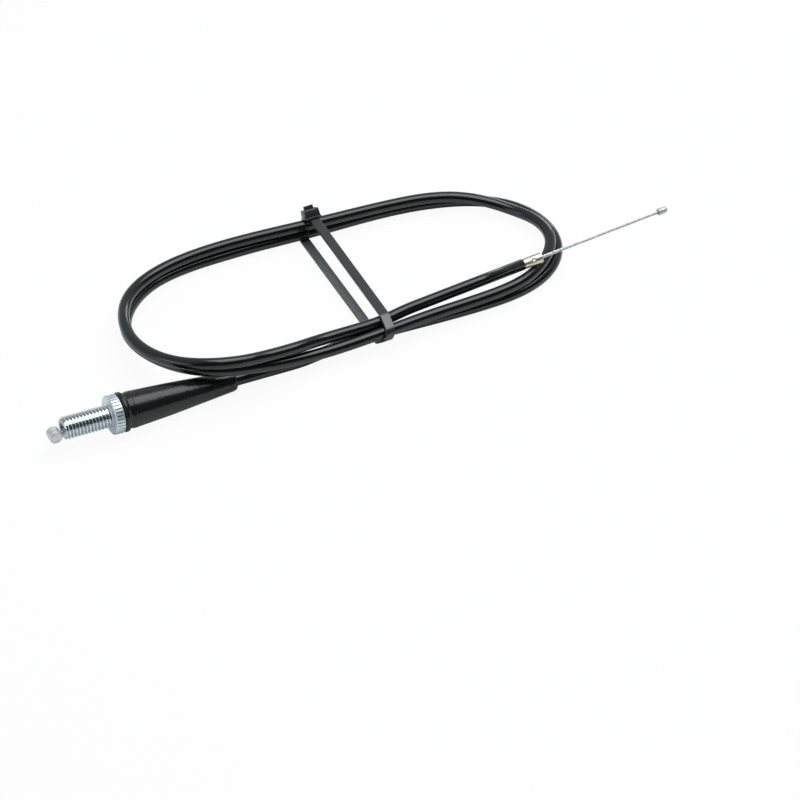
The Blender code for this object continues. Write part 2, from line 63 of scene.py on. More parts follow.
# Throttle end, along the axis from the boot's small end
BOOT_END = (-65.5, -38.56)
AXIS_TILT = math.radians(3.9)
COLLAR_BACK = 55.3
COLLAR_WIDTH = 4.3
COLLAR_RADIUS = 8.5
COLLAR_FRONT = COLLAR_BACK + COLLAR_WIDTH
MOUTH = COLLAR_FRONT + 21.0
MOUTH_DEPTH = 2.0
STEM_END = COLLAR_BACK - 9.1
STEM_RADIUS = 5.5
CONDUIT_START = 47.9
AXIS_HEIGHT = COLLAR_RADIUS * math.cos(AXIS_TILT) - COLLAR_BACK * math.sin(AXIS_TILT)
NIPPLE_RADIUS = 2.75
NIPPLE_LENGTH = 5.5
NIPPLE_SEAM = 0.16
NIPPLE_SIDES = 56
NIPPLE_HOLE = 1.0
NIPPLE_HOLE_SIDES = 32
NIPPLE_STANDOFF = 3.9
NIPPLE_DROOP = (1.0, -1.25)
NIPPLE_CENTRE = MOUTH + NIPPLE_STANDOFF
THROTTLE_WIRE_START = 10.0
THROTTLE_WIRE_END = NIPPLE_CENTRE - NIPPLE_RADIUS + 2.6

# Screw fitting
THREAD_PITCH = 1.5
THREAD_RADIUS = 4.95
THREAD_DEPTH = 0.85
THREAD_TURNS = 17
THREAD_SIDES = 60
FITTING_SIDES = 96
BORE_SIDES = 64
MOUTH_RADIUS = 2.7
WIRE_HOLE = 1.3
CAP_SEAT_RADIUS = 4.25
CAP_SEAT_BACK = 47.4
CAP_SEAT_FRONT = 50.0
STEM_BORE = 3.55
NECK_RADIUS = 5.05
KNURL_RIBS = 34
KNURL_STEPS = 6
KNURL_DEPTH = 0.6
KNURL_INSET = 0.8
KNURL_SLACK = 0.05

# Boot
BOOT_FRONT = COLLAR_BACK - 0.3
BOOT_SIDES = 96
BOOT_SOCKET_RADIUS = 5.8
BOOT_SOCKET_LENGTH = 17.0
# Its bead, groove and mould ring, as (radius, distance behind the front edge)
BOOT_BEAD = [
    (7.3, 0.0), (7.9, 0.06), (8.3, 0.25), (8.58, 0.6), (8.7, 1.1), (8.6, 1.65), (8.3, 2.1), (7.95, 2.45),
    (7.7, 2.75), (7.62, 3.05), (7.66, 3.35), (7.76, 3.65), (7.83, 4.0), (7.86, 4.7), (7.94, 4.76),
    (7.98, 4.9), (7.94, 5.04), (7.9, 5.1), (7.9, 5.8)]
# Its taper, rounded small end and the hole for the conduit, as (radius, place on the axis)
BOOT_TAPER = [
    (7.55, 43.5), (7.2, 37.6), (6.85, 32.0), (5.75, 19.0), (4.72, 7.0), (4.6, 5.3), (4.5, 3.9), (4.3, 2.8),
    (3.95, 2.15), (3.5, 1.9), (3.1, 1.92), (2.9, 2.1), (2.9, 13.9)]

# Carburettor end, along its own line
LINE_STEP = (16.46, 2.24, -0.15)
LINE_DIRECTION = (70.15, 0.47, 3.5)
FERRULE_START = 56.4
FERRULE_LENGTH = 9.4
FERRULE_RADIUS = 2.4
FERRULE_BORE = 2.1
FERRULE_HOLE = 1.0
FERRULE_FACE = 1.6
FERRULE_LEVELS = 24
FERRULE_SIDES = 64
CRIMP_TURNS = (250.0, 10.0, 130.0)
CRIMP_RADIUS = 0.95
CRIMP_DEPTH = 0.32
CRIMP_POWER = 0.7
OUTSIDE_SHARE = 0.95
BARREL_END = 132.5
BARREL_LENGTH = 4.6
BARREL_RADIUS = 1.5
BARREL_COLLAR = 1.65
BARREL_HOLE = 1.0
BARREL_SIDES = 48
CARB_WIRE_START = FERRULE_START + 1.2
CARB_WIRE_END = BARREL_END - 1.3

# The coil: the first lap's stations, then how the next laps lean on it, in degrees from level
LAP_STATIONS = [
    (-23.6, -37.8, 3.0), (4.0, -39.3, 4.4), (25.4, -39.6, 2.9), (53.3, -41.6, 2.75), (75.4, -40.3, 2.6),
    (92.6, -33.2, 2.6), (104.3, -19.8, 2.6), (107.8, -2.8, 2.6), (103.2, 13.0, 2.6), (93.2, 24.4, 2.6),
    (77.4, 33.0, 2.6), (49.2, 39.5, 2.75), (8.0, 40.3, 4.4), (-17.5, 44.3, 2.9), (-48.4, 45.3, 2.7),
    (-70.1, 40.8, 3.2), (-85.7, 29.5, 4.2), (-95.0, 13.4, 6.1), (-95.9, -5.3, 8.9), (-90.0, -24.0, 12.1),
    (-79.4, -38.1, 14.95), (-67.4, -43.2, 14.5)]
SECOND_LAP_LEAN = [
    122, 127, 140, 139, 121, 106, 91, 64, 54, 38, 24, 36, 58, 66, 78, 85, 87, 86, 96, 96, 117, 123, 113, 106]
SECOND_LAP_RISE = [8.5, 7.2, 5.9]
THIRD_LAP_LEAN = [95, 78, 48, 18]
LAP_SPACING = 5.7
BOOT_STATION = 11.0
FLOOR_STATION = 26.2

# The sheath's smooth route: steps a span, the turn that splits a span in two, the furthest it strays
SPAN_STEPS = 12
PIECE_TURN = math.radians(14.0)
STRAY = 0.7

# Tie
TIE_WIDTH = 4.2
TIE_THICKNESS = 1.1
TIE_CLEARANCE = 0.4
TIE_MIDDLE = 4.7
TIE_SHEAR = 0.25
TIE_TURN = 0.045
TIE_TWIST = 0.8
TIE_BOTTOM_INDEX = 3
TIE_TOP_INDEX = 14
TIE_RAIL = 0.6
TIE_ROWS = (0.0, 0.55, 0.85, TIE_WIDTH - 0.85, TIE_WIDTH - 0.55, TIE_WIDTH)
TIE_EDGE = 0.22
TOOTH_STEP = 0.55
TOOTH_SHARE = 0.2
LOOP_CORNERS = 96

# The tie's head
HEAD_WIDTH = 7.7
HEAD_LENGTH = 5.4
HEAD_HEIGHT = 4.5
HEAD_TAPER = 0.93
HEAD_ROUNDING = 0.35
HEAD_TILT = math.radians(-32.0)
HEAD_SHIFT = 0.35
WINDOW_FRAME = 0.6
WINDOW_SHARE = 0.6
WINDOW_DEPTH = 1.6
STUB_WIDTH = 4.5
STUB_HEIGHT = 1.6
STUB_BACK = 0.7
STUB_SUNK = 1.2

# Camera, at the photograph's angle
CAMERA_TURN = math.radians(-28.18)
CAMERA_RISE = math.radians(41.0)
CAMERA_AWAY = 1.1
IMAGE_SIDE = 800.0
PIXELS_PER_METRE = 2220.0
TARGET = Vector((5.0, 4.1, 0.0)) * MM
TARGET_PIXEL = (340.0, 285.0)
SENSOR = 36.0

# Floor and light
FLOOR_SIDE = 8.0
FLOOR_DROP = 0.0002
FLOOR_SHARE_SEEN = 0.94
FLOOR_SHARE_MIRRORED = 0.15
FAR_LEVEL = 0.5
FAR_START = 0.25
NEAR_LEVEL = 0.07
NEAR_START = -0.35


# Places

def unit(vector):
    vector = np.array(vector, float)
    return vector / np.linalg.norm(vector)


THROTTLE_DIRECTION = unit((-math.cos(AXIS_TILT), 0.0, math.sin(AXIS_TILT)))
CARB_DIRECTION = unit(LINE_DIRECTION)


def on_throttle_axis(along):
    return np.array((*BOOT_END, AXIS_HEIGHT)) + along * THROTTLE_DIRECTION


def lean_on(base, inward, lean, rise):
    """Each point's neighbour at the distance rise, at the angle lean from level inward to straight up."""
    angle = np.radians(np.array(lean, float))[:, None]
    rise = np.array(rise, float)[:, None]
    return np.hstack([base[:, :2] + rise * np.cos(angle) * inward, base[:, 2:] + rise * np.sin(angle)])


def coil_laps():
    """The stations of the three laps. The first runs from behind the boot, each next one leans on it."""
    first = np.array([on_throttle_axis(-BOOT_STATION + 1.0), on_throttle_axis(-FLOOR_STATION), *LAP_STATIONS])
    along = np.roll(first[:, :2], -1, axis=0) - np.roll(first[:, :2], 1, axis=0)
    along /= np.linalg.norm(along, axis=1)[:, None]
    inward = np.stack([-along[:, 1], along[:, 0]], axis=1)
    rise = [LAP_SPACING] * len(first)
    rise[:len(SECOND_LAP_RISE)] = SECOND_LAP_RISE
    second = lean_on(first, inward, SECOND_LAP_LEAN, rise)
    count = len(THIRD_LAP_LEAN)
    third = lean_on(second[:count], inward[:count], THIRD_LAP_LEAN, [LAP_SPACING] * count)
    return first, second, third


def on_carb_line(along):
    return coil_laps()[2][-1] + np.array(LINE_STEP) + along * CARB_DIRECTION


def smooth_route(points, start, end):
    """A smooth line through the points, kept near the straight pieces of the part's own line."""

    def place(i, t):
        """The point at the share t of span i."""
        h = steps[i]
        return ((1 + 2 * t) * (1 - t) ** 2 * points[i] + t * (1 - t) ** 2 * h * slopes[i]
                + t * t * (3 - 2 * t) * points[i + 1] - t * t * (1 - t) * h * slopes[i + 1])

    steps = np.linalg.norm(np.diff(points, axis=0), axis=1)
    count = len(points)
    matrix = np.zeros((count, count))
    right = np.zeros((count, 3))
    matrix[0, 0] = 1.0
    matrix[-1, -1] = 1.0
    right[0] = start
    right[-1] = end
    for i in range(1, count - 1):
        before, after = steps[i - 1], steps[i]
        matrix[i, i - 1] = after
        matrix[i, i] = 2.0 * (before + after)
        matrix[i, i + 1] = before
        right[i] = 3.0 * (after * (points[i] - points[i - 1]) / before
                          + before * (points[i + 1] - points[i]) / after)
    slopes = np.linalg.solve(matrix, right)
    route = []
    for i in range(len(steps)):
        turn = math.acos(min(1.0, float(np.dot(unit(slopes[i]), unit(slopes[i + 1])))))
        pieces = 2 if turn > PIECE_TURN else 1
        for k in range(SPAN_STEPS):
            piece = k * pieces // SPAN_STEPS
            begin = place(i, piece / pieces)
            along = unit(place(i, (piece + 1) / pieces) - begin)
            point = place(i, k / SPAN_STEPS)
            foot = begin + np.dot(point - begin, along) * along
            aside = point - foot
            route.append(foot + aside / math.sqrt(1.0 + float(np.dot(aside, aside)) / STRAY ** 2))
    route.append(points[-1])
    return route


def axis_place(origin, direction):
    """The matrix that stands a piece modelled along local Z on this axis. Local X is level."""
    turn = Vector(direction).to_track_quat("Z", "Y").to_matrix().to_4x4()
    return Matrix.Translation(Vector(origin) * MM) @ turn


THROTTLE_PLACE = axis_place(on_throttle_axis(0.0), THROTTLE_DIRECTION)
CARB_PLACE = axis_place(on_carb_line(0.0), CARB_DIRECTION)


# Modelling

def pick_none():
    if bpy.context.mode != "OBJECT":
        bpy.ops.object.mode_set(mode="OBJECT")
    bpy.ops.object.select_all(action="DESELECT")


def pick(*objs):
    """Select these objects alone, the last one active."""
    pick_none()
    for obj in objs:
        obj.select_set(True)
    bpy.context.view_layer.objects.active = objs[-1]


def edit(obj, kind="VERT"):
    """Edit mode on this object, with nothing selected in it."""
    pick(obj)
    bpy.ops.object.mode_set(mode="EDIT")
    bpy.ops.mesh.select_mode(type=kind)
    bpy.ops.mesh.select_all(action="DESELECT")


def choose(obj, test, kind="verts"):
    """Select the vertices, edges or faces that pass the test, in edit mode."""
    shape = bmesh.from_edit_mesh(obj.data)
    for part in getattr(shape, kind):
        part.select_set(bool(test(part)))
    shape.select_flush_mode()
    bmesh.update_edit_mesh(obj.data)


def choose_all():
    bpy.ops.mesh.select_all(action="SELECT")


def leave():
    bpy.ops.object.mode_set(mode="OBJECT")


def draw_line(name, points):
    """A wire of (radius, height) points, drawn by extruding one vertex from each point to the next."""
    pick_none()
    bpy.ops.mesh.primitive_plane_add(size=MM)
    obj = bpy.context.active_object
    obj.name = name
    edit(obj)
    choose_all()
    bpy.ops.mesh.merge(type="CENTER")
    bpy.ops.transform.translate(value=(points[0][0] * MM, 0.0, points[0][1] * MM))
    for before, after in zip(points, points[1:]):
        step = ((after[0] - before[0]) * MM, 0.0, (after[1] - before[1]) * MM)
        bpy.ops.mesh.extrude_region_move(TRANSFORM_OT_translate={"value": step})
    leave()
    return obj


def turned(name, points, steps, closed=True):
    """A body turned about local Z. An open profile ends on the axis at both ends."""
    obj = draw_line(name, points)
    edit(obj)
    if closed:
        choose(obj, lambda v: len(v.link_edges) == 1)
        bpy.ops.mesh.edge_face_add()
    choose_all()
    bpy.ops.mesh.spin(steps=steps, angle=FULL_TURN, center=(0.0, 0.0, 0.0), axis=(0.0, 0.0, 1.0))
    choose_all()
    bpy.ops.mesh.remove_doubles(threshold=MERGE_DISTANCE)
    bpy.ops.mesh.normals_make_consistent(inside=False)
    leave()
    return obj


def apply(obj, modifier):
    pick(obj)
    bpy.ops.object.modifier_apply(modifier=modifier.name)


def boolean(obj, other, operation):
    """Join, cut or overlap with the other body, which is used up."""
    step = obj.modifiers.new("with_" + other.name, "BOOLEAN")
    step.operation = operation
    step.solver = "EXACT"
    step.object = other
    apply(obj, step)
    bpy.data.objects.remove(other)


def finished(obj, place, mat, body, nodes, angle=32.0):
    """Put the piece in its place, give it its finish and hang it on its body."""
    obj.data.transform(place)
    obj.data.materials.clear()
    obj.data.materials.append(mat)
    pick(obj)
    bpy.ops.object.shade_smooth_by_angle(angle=math.radians(angle))
    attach(obj, body)
    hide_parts(*nodes)
    return obj


# Finishes

def new_material(name, metallic, roughness, specular=0.5):
    mat = bpy.data.materials.new(name)
    mat.use_nodes = True
    shader = mat.node_tree.nodes["Principled BSDF"]
    shader.inputs["Metallic"].default_value = metallic
    shader.inputs["Roughness"].default_value = roughness
    shader.inputs["Specular IOR Level"].default_value = specular
    return mat, mat.node_tree, shader


def put(tree, value, socket):
    """Link an output to this input, or write a plain value in it."""
    if isinstance(value, bpy.types.NodeSocket):
        tree.links.new(value, socket)
    else:
        socket.default_value = value


def calculate(tree, operation, *values):
    node = tree.nodes.new("ShaderNodeMath")
    node.operation = operation
    for value, socket in zip(values, node.inputs):
        put(tree, value, socket)
    return node.outputs[0]


def blend(tree, factor, first, second, kind="FLOAT", way="MIX"):
    node = tree.nodes.new("ShaderNodeMix")
    node.data_type = kind
    node.blend_type = way
    put(tree, factor, node.inputs["Factor"])
    put(tree, first, node.inputs["A"])
    put(tree, second, node.inputs["B"])
    return node.outputs["Result"]


def mix_surfaces(tree, factor, first, second, output):
    mix = tree.nodes.new("ShaderNodeMixShader")
    tree.links.new(factor, mix.inputs["Fac"])
    tree.links.new(first, mix.inputs[1])
    tree.links.new(second, mix.inputs[2])
    tree.links.new(mix.outputs["Shader"], tree.nodes[output].inputs["Surface"])


def coordinates(tree, place=None, stretch=(1.0, 1.0, 1.0)):
    """Object coordinates in millimetres, along the piece's own axis where a place is given."""
    texture = tree.nodes.new("ShaderNodeTexCoord")
    socket = texture.outputs["Object"]
    if place is not None:
        back = place.inverted()
        turn = tree.nodes.new("ShaderNodeMapping")
        turn.inputs["Location"].default_value = back.to_translation()
        turn.inputs["Rotation"].default_value = back.to_euler()
        tree.links.new(socket, turn.inputs["Vector"])
        socket = turn.outputs["Vector"]
    size = tree.nodes.new("ShaderNodeMapping")
    size.inputs["Scale"].default_value = [s / MM for s in stretch]
    tree.links.new(socket, size.inputs["Vector"])
    return size.outputs["Vector"]


def noise(tree, vector, scale, detail=3.0, roughness=0.5):
    node = tree.nodes.new("ShaderNodeTexNoise")
    node.inputs["Scale"].default_value = scale
    node.inputs["Detail"].default_value = detail
    node.inputs["Roughness"].default_value = roughness
    tree.links.new(vector, node.inputs["Vector"])
    return node.outputs["Fac"]


def ramp(tree, fac, stops):
    """Colours along a factor, as (place, colour) stops."""
    node = tree.nodes.new("ShaderNodeValToRGB")
    row = node.color_ramp.elements
    while len(row) < len(stops):
        row.new(0.5)
    for element, (place, colour) in zip(row, stops):
        element.position = place
        element.color = (*colour, 1.0)
    tree.links.new(fac, node.inputs["Fac"])
    return node.outputs["Color"]


def paint(tree, shader, fac, dark, light, start=0.3, end=0.7):
    tree.links.new(ramp(tree, fac, [(start, dark), (end, light)]), shader.inputs["Base Color"])


def roughen(tree, shader, fac, low, high):
    tree.links.new(spread(tree, fac, low, high), shader.inputs["Roughness"])


def spread(tree, fac, low, high, start=0.3, end=0.7):
    """The factor's range from start to end, stretched to run from low to high."""
    node = tree.nodes.new("ShaderNodeMapRange")
    node.inputs["From Min"].default_value = start
    node.inputs["From Max"].default_value = end
    node.inputs["To Min"].default_value = low
    node.inputs["To Max"].default_value = high
    tree.links.new(fac, node.inputs["Value"])
    return node.outputs["Result"]


def bump(tree, shader, height, distance, strength, below=None):
    """A relief this many millimetres high, on top of the relief below it."""
    node = tree.nodes.new("ShaderNodeBump")
    node.inputs["Distance"].default_value = distance * MM
    node.inputs["Strength"].default_value = strength
    tree.links.new(height, node.inputs["Height"])
    if below is not None:
        tree.links.new(below, node.inputs["Normal"])
    tree.links.new(node.outputs["Normal"], shader.inputs["Normal"])
    return node.outputs["Normal"]


def jacket_vinyl():
    mat, tree, shader = new_material("jacket_vinyl", 0.0, 0.2, 0.6)
    vector = coordinates(tree)
    paint(tree, shader, noise(tree, vector, 0.06), (0.0028, 0.003, 0.0034), (0.005, 0.0053, 0.006))
    roughen(tree, shader, noise(tree, vector, 0.35), 0.1, 0.2)
    bump(tree, shader, noise(tree, vector, 0.12), 0.06, 0.5)
    return mat


def boot_rubber():
    mat, tree, shader = new_material("boot_rubber", 0.0, 0.24, 0.5)
    vector = coordinates(tree, THROTTLE_PLACE)
    paint(tree, shader, noise(tree, vector, 0.25), (0.006, 0.006, 0.0065), (0.01, 0.01, 0.011))
    roughen(tree, shader, noise(tree, vector, 0.5), 0.17, 0.3)
    waves = bump(tree, shader, noise(tree, vector, 0.22), 0.35, 0.6)
    bump(tree, shader, noise(tree, vector, 6.0), 0.004, 0.4, waves)
    return mat


def tie_nylon():
    """Grey-black nylon, with a painted sheen that makes the strap's toothed side lighter."""
    mat, tree, shader = new_material("tie_nylon", 0.0, 0.38, 1.0)
    vector = coordinates(tree)
    side = tree.nodes.new("ShaderNodeAttribute")
    side.attribute_name = "toothed_side"
    patches = ramp(tree, noise(tree, vector, 0.15), [
        (0.3, (0.011, 0.0118, 0.0127)), (0.7, (0.015, 0.016, 0.017))])
    # Painted sheen: the toothed side gets a much lighter grey than the nylon's own near-black.
    nylon_with_painted_sheen = blend(tree, side.outputs["Fac"], patches, (0.1, 0.105, 0.108, 1.0), "RGBA")
    tree.links.new(nylon_with_painted_sheen, shader.inputs["Base Color"])
    roughen(tree, shader, noise(tree, vector, 1.2), 0.26, 0.36)
    bump(tree, shader, noise(tree, vector, 5.0), 0.006, 0.5)
    return mat


def axis_distance(tree, split):
    """How far a point lies from the piece's own axis."""
    flat = tree.nodes.new("ShaderNodeCombineXYZ")
    tree.links.new(split.outputs["X"], flat.inputs["X"])
    tree.links.new(split.outputs["Y"], flat.inputs["Y"])
    distance = tree.nodes.new("ShaderNodeVectorMath")
    distance.operation = "LENGTH"
    tree.links.new(flat.outputs[0], distance.inputs[0])
    return distance.outputs["Value"]


def zinc_plate():
    """Bright bluish zinc, with painted shade that darkens the thread's grooves and the knurl's slits, and
    matt on the collar.
    """
    mat, tree, shader = new_material("zinc_plate", 1.0, 0.22)
    vector = coordinates(tree, THROTTLE_PLACE)
    patches = ramp(tree, noise(tree, vector, 0.35), [
        (0.3, (0.64, 0.75, 0.8)), (0.5, (0.76, 0.84, 0.87)), (0.7, (0.7, 0.79, 0.81))])
    split = tree.nodes.new("ShaderNodeSeparateXYZ")
    tree.links.new(vector, split.inputs["Vector"])
    distance = axis_distance(tree, split)
    # Painted shade: the colour darkens from the crests down to the thread's roots and the knurl's slits, by
    # distance from the axis.
    groove = spread(tree, distance, 0.6, 1.0, THREAD_RADIUS - THREAD_DEPTH, THREAD_RADIUS - 0.15)
    slit_painted_shade = spread(tree, distance, 0.25, 1.0, COLLAR_RADIUS - KNURL_DEPTH, COLLAR_RADIUS - 0.05)
    knurl_middle = (COLLAR_FRONT + COLLAR_BACK) / 2.0
    knurl_reach = (COLLAR_FRONT - COLLAR_BACK) / 2.0 - KNURL_INSET + KNURL_SLACK
    on_knurl = calculate(tree, "COMPARE", split.outputs["Z"], knurl_middle, knurl_reach)
    painted_shade = blend(tree, on_knurl, groove, slit_painted_shade)
    with_painted_shade = blend(tree, 1.0, patches, painted_shade, "RGBA", "MULTIPLY")
    tree.links.new(with_painted_shade, shader.inputs["Base Color"])
    matt = spread(tree, split.outputs["Z"], 0.5, 0.17, COLLAR_FRONT + 0.1, COLLAR_FRONT + 0.6)
    uneven = spread(tree, noise(tree, vector, 1.5), 0.9, 1.15)
    tree.links.new(calculate(tree, "MULTIPLY", matt, uneven), shader.inputs["Roughness"])
    bump(tree, shader, noise(tree, vector, 1.2), 0.003, 0.3)
    return mat


def cast_zinc(name, place, light):
    mat, tree, shader = new_material(name, 0.7, 0.45)
    vector = coordinates(tree, place)
    grains = noise(tree, vector, 1.6, 4.0, 0.65)
    paint(tree, shader, grains, tuple(0.78 * c for c in light), light, 0.35, 0.6)
    roughen(tree, shader, grains, 0.55, 0.38)
    bump(tree, shader, grains, 0.035, 0.6)
    return mat


def nickel_plate():
    mat, tree, shader = new_material("nickel_plate", 1.0, 0.36)
    vector = coordinates(tree, CARB_PLACE, (1.0, 1.0, 0.2))
    paint(tree, shader, noise(tree, vector, 0.9), (0.6, 0.56, 0.46), (0.78, 0.74, 0.63))
    roughen(tree, shader, noise(tree, vector, 3.0), 0.3, 0.44)
    bump(tree, shader, noise(tree, vector, 2.5), 0.01, 0.5)
    return mat


def wire_steel(name, colour):
    mat, tree, shader = new_material(name, 1.0, 0.3)
    vector = coordinates(tree)
    paint(tree, shader, noise(tree, vector, 1.2), tuple(0.75 * c for c in colour), colour)
    roughen(tree, shader, noise(tree, vector, 4.0), 0.24, 0.4)
    return mat


def liner_plastic():
    mat, tree, shader = new_material("liner_plastic", 0.0, 0.4, 0.5)
    patches = noise(tree, coordinates(tree), 0.4)
    paint(tree, shader, patches, (0.7, 0.69, 0.65), (0.78, 0.77, 0.73))
    roughen(tree, shader, patches, 0.34, 0.46)
    return mat


# Camera

def add_camera():
    """The camera stands at the photograph's angle, with the target on its pixel."""
    data = bpy.data.cameras.new("camera")
    camera = bpy.data.objects.new("camera", data)
    bpy.context.scene.collection.objects.link(camera)
    level = math.cos(CAMERA_RISE)
    back = Vector((math.sin(CAMERA_TURN) * level, -math.cos(CAMERA_TURN) * level, math.sin(CAMERA_RISE)))
    right = Vector((math.cos(CAMERA_TURN), math.sin(CAMERA_TURN), 0.0))
    up = back.cross(right)
    aside = (TARGET_PIXEL[0] - IMAGE_SIDE / 2.0) / PIXELS_PER_METRE
    above = (IMAGE_SIDE / 2.0 - TARGET_PIXEL[1]) / PIXELS_PER_METRE
    camera.location = TARGET + back * CAMERA_AWAY - right * aside - up * above
    camera.rotation_mode = "QUATERNION"
    camera.rotation_quaternion = (-back).to_track_quat("-Z", "Y")
    data.sensor_width = SENSOR
    data.lens = CAMERA_AWAY * PIXELS_PER_METRE / IMAGE_SIDE * SENSOR
    data.clip_start = 0.01
    data.clip_end = 20.0
    bpy.context.scene.camera = camera


# Conduit

def add_sheath(mat):
    """The plastic jacket on its whole route, an open tube with its wall to the inside."""
    first, second, third = coil_laps()
    stations = np.vstack([first[1:], second, third, [on_carb_line(0.0)]])
    coil = smooth_route(stations, -THROTTLE_DIRECTION, CARB_DIRECTION)
    route = [on_throttle_axis(CONDUIT_START), on_throttle_axis(-FLOOR_STATION / 2.0), *coil,
             on_carb_line(FERRULE_START / 2.0), on_carb_line(FERRULE_START - 0.3)]
    data = bpy.data.curves.new("cable_sheath", "CURVE")
    data.dimensions = "3D"
    data.twist_mode = "Z_UP"
    data.bevel_depth = SHEATH_RADIUS * MM
    data.bevel_resolution = SHEATH_ROUNDING
    spline = data.splines.new("POLY")
    spline.points.add(len(route) - 1)
    for point, place in zip(spline.points, route):
        point.co = (*(np.array(place) * MM), 1.0)
    spline.use_smooth = True
    sheath = bpy.data.objects.new("cable_sheath", data)
    bpy.context.scene.collection.objects.link(sheath)
    data.materials.append(mat)
    wall = sheath.modifiers.new("wall", "SOLIDIFY")
    wall.thickness = SHEATH_WALL * MM
    wall.offset = -1.0
    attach(sheath, "conduit")
    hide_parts("outer_sheath")
    length = float(np.linalg.norm(np.diff(np.array(route), axis=0), axis=1).sum()) * MM
    return sheath, length


# Screw fitting

def add_thread():
    """A helical thread longer than the fitting's at both ends: one tooth's outline screwed round the axis."""
    root = THREAD_RADIUS - THREAD_DEPTH
    start = COLLAR_FRONT - 2.6
    tooth = [
        (root, 0.0), (root, 0.1), (THREAD_RADIUS - 0.1, 0.55), (THREAD_RADIUS, 0.65), (THREAD_RADIUS, 0.85),
        (THREAD_RADIUS - 0.1, 0.95), (root, 1.4), (root, THREAD_PITCH)]
    thread = draw_line("thread", [(radius, start + height) for radius, height in tooth])
    screw = thread.modifiers.new("helix", "SCREW")
    screw.axis = "Z"
    screw.steps = THREAD_SIDES
    screw.render_steps = THREAD_SIDES
    screw.screw_offset = THREAD_PITCH * MM
    screw.iterations = THREAD_TURNS
    apply(thread, screw)
    edit(thread)
    choose_all()
    bpy.ops.mesh.remove_doubles(threshold=MERGE_DISTANCE)
    choose_all()
    bpy.ops.mesh.fill_holes(sides=0)
    choose_all()
    bpy.ops.mesh.quads_convert_to_tris()
    bpy.ops.mesh.normals_make_consistent(inside=False)
    leave()
    return thread


def add_collar():
    """The collar with slits pressed in between its ribs, and the stem through it."""
    front, back = COLLAR_FRONT, COLLAR_BACK
    collar = turned("collar", [
        (0.0, front), (COLLAR_RADIUS - 0.5, front), (COLLAR_RADIUS - 0.1, front - 0.3),
        (COLLAR_RADIUS, front - 0.45), (COLLAR_RADIUS, front - 0.6), (COLLAR_RADIUS, front - KNURL_INSET),
        (COLLAR_RADIUS, back + KNURL_INSET), (COLLAR_RADIUS, back + 0.6), (COLLAR_RADIUS, back + 0.45),
        (COLLAR_RADIUS - 0.1, back + 0.3), (COLLAR_RADIUS - 0.5, back), (0.0, back)],
        KNURL_STEPS * KNURL_RIBS, closed=False)
    edit(collar)
    step_turn = FULL_TURN / (KNURL_STEPS * KNURL_RIBS)
    lowest = (back + KNURL_INSET - KNURL_SLACK) * MM
    highest = (front - KNURL_INSET + KNURL_SLACK) * MM
    choose(collar, lambda v: lowest < v.co.z < highest
           and round(math.atan2(v.co.y, v.co.x) / step_turn) % KNURL_STEPS == 0)
    slim = (COLLAR_RADIUS - KNURL_DEPTH) / COLLAR_RADIUS
    bpy.ops.transform.resize(value=(slim, slim, 1.0), center_override=(0.0, 0.0, 0.0))
    leave()
    stem = turned("stem", [
        (0.0, front + 0.5), (NECK_RADIUS - 0.35, front + 0.5), (NECK_RADIUS, front + 0.15),
        (NECK_RADIUS, front - 1.0), (STEM_RADIUS, front - 1.0), (STEM_RADIUS, STEM_END + 0.4),
        (STEM_RADIUS - 0.4, STEM_END), (0.0, STEM_END)], FITTING_SIDES, closed=False)
    boolean(collar, stem, "UNION")
    return collar


def add_fitting(mat):
    """Threaded sleeve with a knurled collar and the stem behind it, in one piece."""
    fitting = add_thread()
    fitting.name = "knurled_screw_fitting"
    crest = THREAD_RADIUS + 0.02
    envelope = turned("envelope", [
        (0.0, MOUTH), (crest - 0.92, MOUTH), (crest, MOUTH - 0.9), (crest, COLLAR_FRONT - 1.0),
        (0.0, COLLAR_FRONT - 1.0)], FITTING_SIDES, closed=False)
    boolean(fitting, envelope, "INTERSECT")
    boolean(fitting, add_collar(), "UNION")
    bore = turned("bore", [
        (0.0, MOUTH + 0.1), (MOUTH_RADIUS + 0.35, MOUTH + 0.1), (MOUTH_RADIUS, MOUTH - 0.35),
        (WIRE_HOLE, MOUTH - MOUTH_DEPTH), (WIRE_HOLE, CAP_SEAT_FRONT), (CAP_SEAT_RADIUS, CAP_SEAT_FRONT),
        (CAP_SEAT_RADIUS, CAP_SEAT_BACK), (STEM_BORE, CAP_SEAT_BACK), (STEM_BORE, STEM_END - 0.5),
        (0.0, STEM_END - 0.5)], BORE_SIDES, closed=False)
    boolean(fitting, bore, "DIFFERENCE")
    return finished(fitting, THROTTLE_PLACE, mat, "fitting", ["screw_fitting"], angle=28.0)


# Boot

def add_boot(mat):
    """Hollow rubber boot: bead and groove at the collar, mould ring, straight taper, rounded small end."""
    points = [(radius, BOOT_FRONT - back) for radius, back in BOOT_BEAD] + BOOT_TAPER
    points += [(BOOT_SOCKET_RADIUS, BOOT_FRONT - BOOT_SOCKET_LENGTH), (BOOT_SOCKET_RADIUS, BOOT_FRONT)]
    boot = turned("tapered_boot", points, BOOT_SIDES)
    rest_on_floor(boot, THROTTLE_PLACE)
    return finished(boot, THROTTLE_PLACE, mat, "boot", ["rubber_boot"], angle=50.0)


def rest_on_floor(obj, place):
    """Press up what would sink into the floor once the piece is in its place."""
    back = place.inverted().to_3x3()
    for vertex in obj.data.vertices:
        sunk = -(place @ vertex.co).z
        if sunk > 0.0:
            vertex.co += back @ Vector((0.0, 0.0, sunk))


# Nipple, barrel and wires

